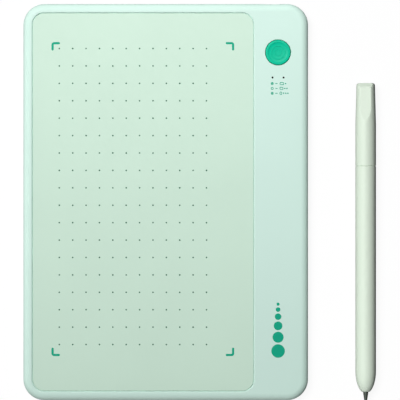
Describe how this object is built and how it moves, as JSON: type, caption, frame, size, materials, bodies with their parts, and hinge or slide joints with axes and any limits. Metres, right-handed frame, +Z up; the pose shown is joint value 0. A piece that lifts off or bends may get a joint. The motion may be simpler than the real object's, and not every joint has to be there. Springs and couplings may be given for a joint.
{
  "type": "pen drawing tablet",
  "caption": "Slim screenless drawing tablet with rounded corners, an inset drawing sheet, a round mode button and status lights, with its battery-free pen lying loose beside it.",
  "frame": {"origin": "on the desk, at the middle of the footprint of the tablet and the pen together", "axes": "+Z up, out of the drawing surface; +Y along the tablet's long side, towards the edge with the socket; +X from the drawing surface to the strip with the button, and on to the pen"},
  "size_m": [0.1834, 0.2076, 0.0107],
  "materials": {
    "cover": "satin",
    "drawing_surface": "matte",
    "adhesive": "gloss",
    "circuit_board": "satin",
    "film": "gloss",
    "steel": "satin",
    "foam": "matte",
    "chip_black": "matte",
    "connector_ivory": "satin",
    "button_teal": "satin",
    "silicone": "matte",
    "light_window": "gloss",
    "foot_rubber": "matte",
    "pen_shell": "satin",
    "nib_graphite": "satin",
    "ferrite": "matte",
    "copper": "gloss",
    "rocker_green": "satin",
    "printed_teal": "matte",
    "printed_green": "matte"
  },
  "bodies": {
    "tablet": {"top_cover": "cover", "bottom_cover": "cover", "drawing_sheet": "drawing_surface", "sheet_adhesive": "adhesive", "sensor_board": "circuit_board", "insulating_film": "film", "shield_plate": "steel", "foam_pads": "foam", "main_board": "circuit_board", "board_chips": "chip_black", "flex_connector": "connector_ivory", "flex_cable": "film", "usb_c_shell": "steel", "usb_c_tongue": "chip_black", "button_return_pad": "silicone", "switch_housing": "chip_black", "light_guide": "light_window", "status_leds": "connector_ivory", "rubber_feet": "foot_rubber", "housing_screws": "steel", "board_screws": "steel"},
    "mode_button": {"mode_button": "button_teal", "switch_plunger": "connector_ivory"},
    "pen": {"pen_barrel": "pen_shell", "pen_rear_cap": "pen_shell", "cap_seal": "foot_rubber", "nib_guide": "connector_ivory", "ferrite_core": "ferrite", "coil_winding": "copper", "nib_spring": "steel", "pressure_sensor": "connector_ivory", "board_carrier": "connector_ivory", "pen_board": "circuit_board", "tuning_capacitors": "ferrite", "side_switches": "chip_black", "rocker_pin": "steel"},
    "nib": {"pen_nib": "nib_graphite", "nib_holder": "connector_ivory"},
    "side_rocker": {"side_rocker": "rocker_green"}
  },
  "joints": [
    {"name": "mode_button_press", "type": "slide", "parent": "tablet", "child": "mode_button", "axis": [0, 0, -1], "range_m": [0, 0.0005], "stiffness_N_per_m": 3000, "springref_m": -0.0001, "deforming": ["button_return_pad"]},
    {"name": "pen_lift", "type": "slide", "parent": "tablet", "child": "pen", "axis": [0, 0, 1], "range_m": [0, 0.1]},
    {"name": "nib_press", "type": "slide", "parent": "pen", "child": "nib", "axis": [0, 1, 0], "range_m": [0, 0.0008], "stiffness_N_per_m": 4000, "springref_m": -0.0001, "deforming": ["nib_spring"]},
    {"name": "side_rocker_tilt", "type": "hinge", "parent": "pen", "child": "side_rocker", "pos_m": [0.08632, -0.0458, 0.00245], "axis": [1, 0, 0], "range_deg": [-2.5, 2.5], "stiffness_Nm_per_rad": 0.2}
  ]
}
